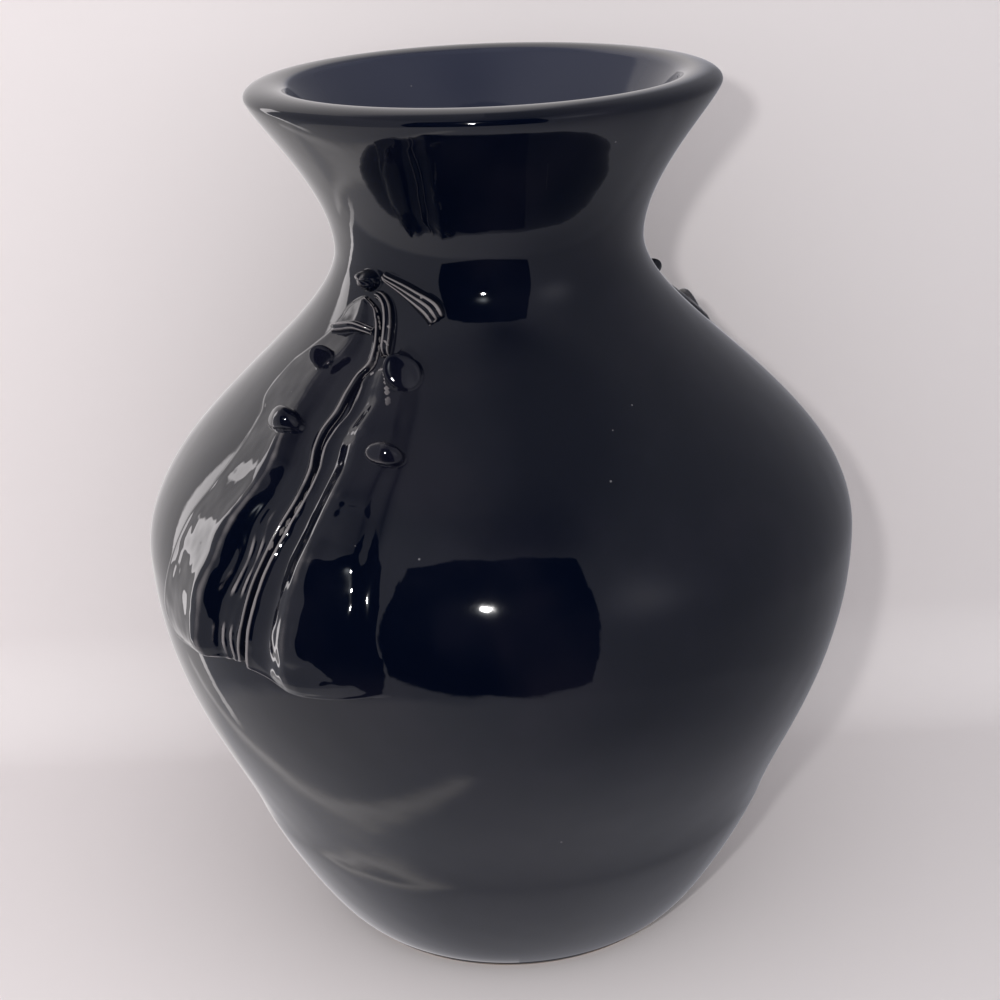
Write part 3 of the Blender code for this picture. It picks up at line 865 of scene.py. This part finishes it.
def make_body():
    """The shell's skin, its whole section turned round Z, with soft waves in the glaze."""
    section = body_section()
    radius, height = section[:, :1], section[:, 1:]
    turn = np.linspace(0, 2 * np.pi, SEGMENTS, endpoint=False)
    points = np.stack([radius * np.cos(turn), radius * np.sin(turn), height + 0 * turn], axis=-1)
    wave = unevenness(points, *BODY_LUMPS) + unevenness(points, *BODY_WAVES)
    wave = wave * (ease(height, *BODY_UNEVEN_FROM_FOOT) * ease(HEIGHT - height, *BODY_UNEVEN_FROM_LIP))
    normal = -outward(section)
    out, up = normal[:, :1], normal[:, 1:]
    points += np.stack([wave * out * np.cos(turn), wave * out * np.sin(turn), wave * up], axis=-1)
    faces = turned_faces(len(section))
    body = skin("vase_body_glaze", points.reshape(-1, 3), faces, "vase_body", BODY_GLAZE)
    body.data.set_sharp_from_angle(angle=np.radians(SHARP_ANGLE))


def make_lobe(lobe, name):
    """A lobe's skin, which reaches a little past the far edge."""
    v = crowded(LOBE_COLUMNS)[None, :] * (1 + OUTSKIRT) - OUTSKIRT
    u, v = np.broadcast_arrays(crowded(LOBE_ROWS)[:, None], v)
    share, angle = lobe.place(u, v)
    # Painted highlight on the front lobe's ridges, towards its far edge
    highlight_mask = ease(1 - v, *LOBE_HIGHLIGHT_FROM_NEAR) if lobe.fades else 1.0
    relief_skin(lobe.group, name, lobe.group.seat(share, angle, lobe.lift(u, v)), highlight_mask)


def make_roll(group, name, path, under, ridges, ridge_height):
    """A roll's skin along a path, with ridges along it."""
    stations = np.array(path)
    numbers = np.arange(len(path))
    at = crowded(ROLL_ROWS) * (len(path) - 1)
    share, angle, half_width, height = (glide(np.stack([numbers, c], axis=1), at) for c in stations.T)
    run = group.heading(share, angle)
    points = group.seat(share, angle, 0 * share)
    length = np.concatenate([[0], np.cumsum(np.linalg.norm(np.diff(points, axis=0), axis=1))])
    end = quarter_round(length / END_ROUND) * quarter_round((length[-1] - length) / END_ROUND)
    spread = SKIRT * np.sin(np.pi / 2 * np.linspace(-1, 1, ROLL_COLUMNS + 1))[None, :]
    offset = spread * half_width[:, None]
    place = group.walk(share[:, None], angle[:, None], -run[:, 1, None] * offset, run[:, 0, None] * offset)
    inside = np.clip(1 - spread ** 2, 0, 1)
    arch = np.sqrt(inside) * (PIECE_RIM + height)[:, None]
    arch = arch + ridge_height * np.cos(np.pi * ridges * spread) * inside
    raw = np.where(inside > 0, SEAT_GAP + arch, 0) * end[:, None]
    raw = raw - ROLL_SKIRT_DROP * np.clip(np.abs(spread) - 1, 0, 1)
    edge = ease(SKIRT - np.abs(spread), 0, SKIRT_FADE) * ease(end, 0, END_FADE)[:, None]
    lift = under(*place) + pooled(0, raw, FILLET) - TUCK * (1 - edge)
    relief_skin(group, name, group.seat(*place, lift))


def make_round(group, name, size, face, under, lobed=0.0, highlit=True):
    """A lump's skin: domed, or flatter with a dished face that slopes down and to the front."""
    share, angle, half_length, half_width, height = size
    power, dish, slope_down, slope_across = face
    grid = np.linspace(-1, 1, ROUND_CELLS + 1)
    p, q = np.meshgrid(grid, grid, indexing="ij")
    down = SKIRT * p * np.sqrt(1 - q ** 2 / 2)
    across = SKIRT * q * np.sqrt(1 - p ** 2 / 2)
    place = group.walk(share, angle, down * half_length, across * half_width)
    far = np.hypot(down, across)
    inside = np.clip(1 - far ** power, 0, 1)
    crown = height * (1 + lobed * np.cos(KNOT_LOBES * np.arctan2(across, down)) * far)
    crown = crown - dish * (1 - far ** 2)
    crown = crown - slope_down * down * half_length - slope_across * across * half_width
    crown = np.maximum(crown, 0)
    raw = np.where(far < 1, SEAT_GAP + (PIECE_RIM + crown) * inside ** (1 / power), 0)
    raw = raw - ROUND_SKIRT_DROP * np.clip(far - 1, 0, 1)
    edge = ease(SKIRT - far, 0, SKIRT_FADE)
    lift = under(*place) + pooled(0, raw, FILLET) - TUCK * (1 - edge)
    # Painted highlight on the round's ridges, on its far side
    highlight_mask = 1.0 - ease(across, *ROUND_HIGHLIGHT_TO_NEAR) if highlit else 0.0
    relief_skin(group, name, group.seat(*place, lift), highlight_mask)


def make_relief(prefix):
    """One group of relief."""
    group = Group(prefix)
    back = Lobe(
        group, BACK_LOBE_FAR_EDGE, BACK_LOBE_TOP_EDGE + SEAM, BACK_SECTION, near_rim=LOBE_RIM,
        hem_bulge=0, far_slope=BACK_LOBE_FAR_SLOPE, fades=False, folds=FOLD_HEIGHT,
    )
    front_far_edge = FRONT_LOBE_TOP_EDGE + [across_seam(*station) for station in SEAM]
    front = Lobe(
        group, front_far_edge, FRONT_LOBE_NEAR_EDGE, FRONT_SECTION, near_rim=FRONT_LOBE_NEAR_RIM,
        hem_bulge=FRONT_HEM_BULGE, far_slope=FRONT_LOBE_FAR_SLOPE, fades=True, folds=0,
    )
    make_lobe(back, "_back_lobe")
    make_lobe(front, "_front_lobe")
    make_round(group, "_knot", KNOT, KNOT_FACE, bare_shell, lobed=KNOT_LOBE_SHARE)
    make_roll(group, "_shoulder_cord", SHOULDER_CORD, bare_shell, *CORD_RIDGES)
    make_roll(group, "_stem", STEM, bare_shell, *STEM_RIDGES)
    make_roll(group, "_cross_fold", CROSS_FOLD, back.top, *CROSS_FOLD_RIDGES)
    make_round(group, "_back_upper_boss", BACK_UPPER_BOSS, BACK_UPPER_FACE, back.top, highlit=False)
    make_round(group, "_back_lower_boss", BACK_LOWER_BOSS, BACK_LOWER_FACE, back.top)
    make_round(group, "_front_upper_boss", FRONT_UPPER_BOSS, FRONT_UPPER_FACE, front.top, highlit=False)
    make_round(group, "_front_lower_boss", FRONT_LOWER_BOSS, FRONT_LOWER_FACE, front.top)


# From the picture frame to the scene's own frame
TO_ROOM = Matrix.Rotation(VIEW_TURN, 4, "Z")


def make_camera():
    """The photograph's camera."""
    forward = Vector((0, np.cos(PITCH), -np.sin(PITCH)))
    right = Vector((1, 0, 0))
    up = right.cross(forward)
    level = Matrix((right, up, -forward)).transposed().to_4x4()
    camera = bpy.data.objects.new("camera", bpy.data.cameras.new("camera"))
    camera.data.sensor_width = SENSOR_WIDTH
    camera.data.lens = FOCAL * SENSOR_WIDTH
    camera.matrix_world = (
        TO_ROOM @ Matrix.Translation((0, -CAMERA_DISTANCE, CAMERA_HEIGHT))
        @ level @ Matrix.Rotation(-ROLL, 4, "Z")
    )
    bpy.context.scene.collection.objects.link(camera)
    bpy.context.scene.camera = camera


def staged(name, points, faces, material):
    """A stage object given in the picture frame."""
    mesh = bpy.data.meshes.new(name)
    mesh.from_pydata(points, [], faces)
    mesh.shade_smooth()
    mesh.materials.append(material)
    thing = bpy.data.objects.new(name, mesh)
    thing.matrix_world = TO_ROOM
    bpy.context.scene.collection.objects.link(thing)
    return thing


def board_material():
    """Pale board with painted shade, darker to the right, and clear when it is seen from behind."""
    material = bpy.data.materials.new("painted_shade_board")
    material.use_nodes = True
    nodes = Nodes(material.node_tree)
    shader = material.node_tree.nodes["Principled BSDF"]
    place = nodes.add("ShaderNodeTexCoord").outputs["Object"]
    across = nodes.add("ShaderNodeSeparateXYZ", {"Vector": place}).outputs["X"]
    # Painted shade: the board's colour darkens to the right
    pale = nodes.colour(nodes.ramp(across, *BOARD_SHADE_FADE), BOARD_LEFT, BOARD_SHADED_RIGHT)
    nodes.join(pale, shader.inputs["Base Color"])
    shader.inputs["Roughness"].default_value = BOARD_ROUGHNESS
    shader.inputs["Specular IOR Level"].default_value = BOARD_SPECULAR
    clear = nodes.add("ShaderNodeBsdfTransparent")
    behind = nodes.add("ShaderNodeNewGeometry").outputs["Backfacing"]
    mix = nodes.add("ShaderNodeMixShader", {0: behind, 1: shader.outputs[0], 2: clear.outputs[0]})
    nodes.join(mix.outputs[0], material.node_tree.nodes["Material Output"].inputs["Surface"])
    return material


def make_sweep():
    """Floor and back wall in one bent board, left out of what the glaze mirrors."""
    turn = np.radians(np.linspace(0, 90, BOARD_BEND_STEPS))
    profile = [(BOARD_FRONT, 0.0)]
    for s, c in zip(np.sin(turn), np.cos(turn)):
        profile.append((BOARD_BACK - BOARD_BEND + BOARD_BEND * s, BOARD_BEND - BOARD_BEND * c))
    profile.append((BOARD_BACK, BOARD_TOP))
    points = [(x, y, z) for y, z in profile for x in (-BOARD_SIDE, BOARD_SIDE)]
    faces = [(2 * i, 2 * i + 1, 2 * i + 3, 2 * i + 2) for i in range(len(profile) - 1)]
    board = staged("floor_and_wall", points, faces, board_material())
    board.visible_glossy = False


def doorway(nodes, x, to_camera, z):
    """1 in the dark doorway behind the camera."""
    ahead = nodes.math("MAXIMUM", to_camera, LEAST_LENGTH)
    across = nodes.math("DIVIDE", x, ahead)
    upward = nodes.math("DIVIDE", z, ahead)
    return nodes.times(nodes.span(across, *DOORWAY_ACROSS), nodes.span(upward, *DOORWAY_UPWARD))


def patch(nodes, azimuth, elevation, azimuths, elevations):
    """A soft round patch of the room."""
    return nodes.times(nodes.bell(azimuth, *azimuths), nodes.bell(elevation, *elevations))


def walls_and_floor(nodes, azimuth, elevation):
    """Tones of the walls, the ceiling and the floor."""
    pale = nodes.math("MAXIMUM", nodes.ramp(azimuth, *PALE_WALL_LEFT), nodes.ramp(azimuth, *PALE_WALL_RIGHT))
    walls = nodes.blend(pale, nodes.ramp(azimuth, *WALL_TONE), PALE_WALL_TONE)
    glow = patch(nodes, azimuth, elevation, GLOW_AZIMUTH, GLOW_ELEVATION)
    walls = nodes.plus(walls, nodes.times(glow, GLOW_TONE))
    floor = nodes.blend(nodes.ramp(azimuth, *FLOOR_FADE), FLOOR_LEFT_TONE, FLOOR_RIGHT_TONE)
    floor = nodes.blend(nodes.ramp(elevation, *NEAR_FLOOR_FROM), floor, NEAR_FLOOR_TONE)
    room = nodes.blend(nodes.ramp(elevation, *CEILING_FROM), walls, nodes.ramp(azimuth, *CEILING_TONE))
    room = nodes.blend(nodes.ramp(elevation, *FLOOR_FROM), room, floor)
    shade = patch(nodes, azimuth, elevation, SHADE_AZIMUTH, SHADE_ELEVATION)
    return nodes.times(room, nodes.math("SUBTRACT", 1.0, nodes.times(shade, SHADE_DEPTH)))


def light_strip(nodes, azimuth, elevation):
    """Tone of the upright light strip at the back left."""
    reach = nodes.ramp(elevation, *STRIP_REACH)
    aside = nodes.math("ABSOLUTE", nodes.math("DIVIDE", nodes.plus(azimuth, -STRIP_AZIMUTH), reach))
    strip = nodes.times(nodes.ramp(aside, *STRIP_SIDES), nodes.span(elevation, *STRIP_ENDS))
    return nodes.times(strip, nodes.ramp(elevation, *STRIP_TONE))


def floor_line(nodes, x, y, z):
    """Tone of the slanting light line on the floor."""
    below = nodes.math("MAXIMUM", nodes.times(z, -1.0), LEAST_LENGTH)
    rightward = nodes.math("DIVIDE", x, below)
    backward = nodes.math("DIVIDE", y, below)
    off_line = nodes.plus(nodes.plus(rightward, LINE_PLACE), nodes.times(backward, LINE_SLANT))
    line = nodes.times(nodes.bell(off_line, 0, LINE_WIDTH), nodes.span(backward, *LINE_ENDS))
    line = nodes.times(line, nodes.ramp(z, *LINE_BELOW))
    return nodes.times(line, LINE_TONE)


def flash_shine(nodes, way):
    """Tone of the flash and its halo, as the belly mirrors them."""
    flash_way = Vector(FLASH_AT) - Vector(FLASH_MIRRORED_AT)
    flash_way.normalize()
    close = nodes.math("MAXIMUM", nodes.dot(way, tuple(flash_way)), 0.0)
    core, halo = (
        nodes.times(nodes.math("POWER", close, sharpness), tone)
        for sharpness, tone in (FLASH_CORE, FLASH_HALO)
    )
    return nodes.plus(core, halo)


def make_world():
    """The room that the glaze mirrors, and the plain light and backdrop for all other rays.

    Azimuths run from the camera's side to the right and elevations up from level, in degrees.
    """
    world = bpy.data.worlds.new("room")
    world.use_nodes = True
    bpy.context.scene.world = world
    nodes = Nodes(world.node_tree)
    way = nodes.add("ShaderNodeTexCoord").outputs["Generated"]
    turn = {"Vector": way, "Angle": float(-VIEW_TURN)}
    way = nodes.add("ShaderNodeVectorRotate", turn, rotation_type="Z_AXIS").outputs[0]
    x, y, z = nodes.add("ShaderNodeSeparateXYZ", {"Vector": way}).outputs
    to_camera = nodes.times(y, -1.0)
    azimuth = nodes.times(nodes.math("ARCTAN2", x, to_camera), 180 / np.pi)
    elevation = nodes.times(nodes.math("ARCSINE", z), 180 / np.pi)

    room = walls_and_floor(nodes, azimuth, elevation)
    room = nodes.blend(doorway(nodes, x, to_camera, z), room, 0.0)
    room = nodes.plus(room, light_strip(nodes, azimuth, elevation))
    room = nodes.plus(room, floor_line(nodes, x, y, z))
    tint = nodes.colour(nodes.ramp(room, *TINT_FADE), DARK_TINT, PALE_TINT)
    light = nodes.scaled(tint, room)
    shine = nodes.scaled(FLASH_TINT, flash_shine(nodes, way))
    total = nodes.vector_math("ADD", {0: light, 1: shine}).outputs[0]
    rays = nodes.add("ShaderNodeLightPath").outputs
    total = nodes.colour(rays["Is Glossy Ray"], PLAIN_LIGHT, total)
    total = nodes.colour(rays["Is Camera Ray"], total, BACKDROP)
    nodes.join(total, world.node_tree.nodes["Background"].inputs["Color"])


def make_flash():
    """A small round soft lamp beside the lens."""
    lamp = bpy.data.lights.new("flash", "AREA")
    lamp.shape = "DISK"
    lamp.size = FLASH_SIZE
    lamp.energy = FLASH_POWER
    lamp.color = FLASH_COLOUR
    flash = bpy.data.objects.new("flash", lamp)
    aim = (Vector(FLASH_AIM) - Vector(FLASH_AT)).to_track_quat("-Z", "Y").to_matrix().to_4x4()
    flash.matrix_world = TO_ROOM @ Matrix.Translation(FLASH_AT) @ aim
    bpy.context.scene.collection.objects.link(flash)


BODY_GLAZE = glaze("black_body_glaze", body=True)
RELIEF_GLAZE = glaze("black_relief_glaze", relief=True)
make_body()
make_relief("left")
make_relief("right")
make_camera()
make_sweep()
make_world()
make_flash()
bpy.context.scene.view_settings.view_transform = "Standard"

bpy.context.view_layer.update()
